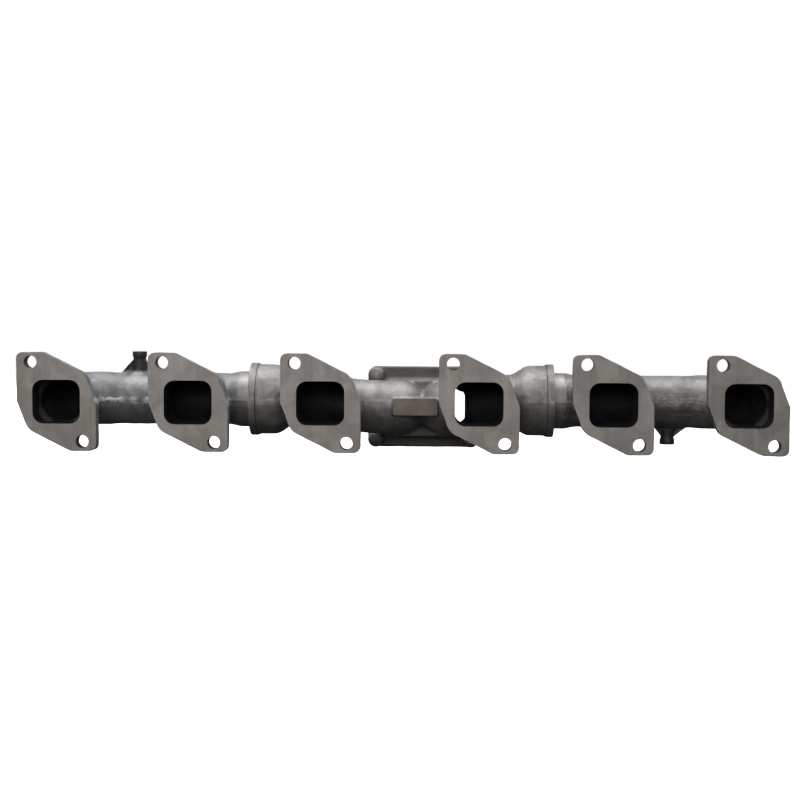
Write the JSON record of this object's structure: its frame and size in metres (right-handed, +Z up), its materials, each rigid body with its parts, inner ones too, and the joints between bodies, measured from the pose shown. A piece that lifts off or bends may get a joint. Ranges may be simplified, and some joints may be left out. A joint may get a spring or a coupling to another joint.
{
  "type": "exhaust manifold",
  "caption": "Sectional cast-iron log exhaust manifold with slip joints sealed by split rings, square ports on slanted two-bolt flanges, and a divided turbocharger flange at the back.",
  "frame": {"origin": "middle of the row of ports, on the plane of the port faces", "axes": "+X along the row of ports from port 1 to port 6, -Y out of the port faces towards the cylinder heads, +Z up"},
  "size_m": [0.846, 0.144, 0.1135],
  "materials": {
    "centre_cast_iron": "dark cast skin, milled flange faces",
    "end_cast_iron": "dark cast skin, milled flange faces, turned spigot",
    "seal_ring_iron": "ground"
  },
  "bodies": {
    "centre": {"centre_section": "centre_cast_iron"},
    "front_rings": {"front_seal_ring_1": "seal_ring_iron", "front_seal_ring_2": "seal_ring_iron", "front_seal_ring_3": "seal_ring_iron", "front_seal_ring_4": "seal_ring_iron"},
    "front": {"front_section": "end_cast_iron"},
    "rear_rings": {"rear_seal_ring_1": "seal_ring_iron", "rear_seal_ring_2": "seal_ring_iron", "rear_seal_ring_3": "seal_ring_iron", "rear_seal_ring_4": "seal_ring_iron"},
    "rear": {"rear_section": "end_cast_iron"}
  },
  "joints": [
    {"name": "front_slip", "type": "slide", "parent": "centre", "child": "front_rings", "axis": [-1, 0, 0], "range_m": [-0.003, 0.034]},
    {"name": "front_swivel", "type": "hinge", "parent": "front_rings", "child": "front", "pos_m": [-0.16, 0.075, 0], "axis": [1, 0, 0], "continuous": true},
    {"name": "rear_slip", "type": "slide", "parent": "centre", "child": "rear_rings", "axis": [1, 0, 0], "range_m": [-0.003, 0.034]},
    {"name": "rear_swivel", "type": "hinge", "parent": "rear_rings", "child": "rear", "pos_m": [0.16, 0.075, 0], "axis": [1, 0, 0], "continuous": true}
  ]
}
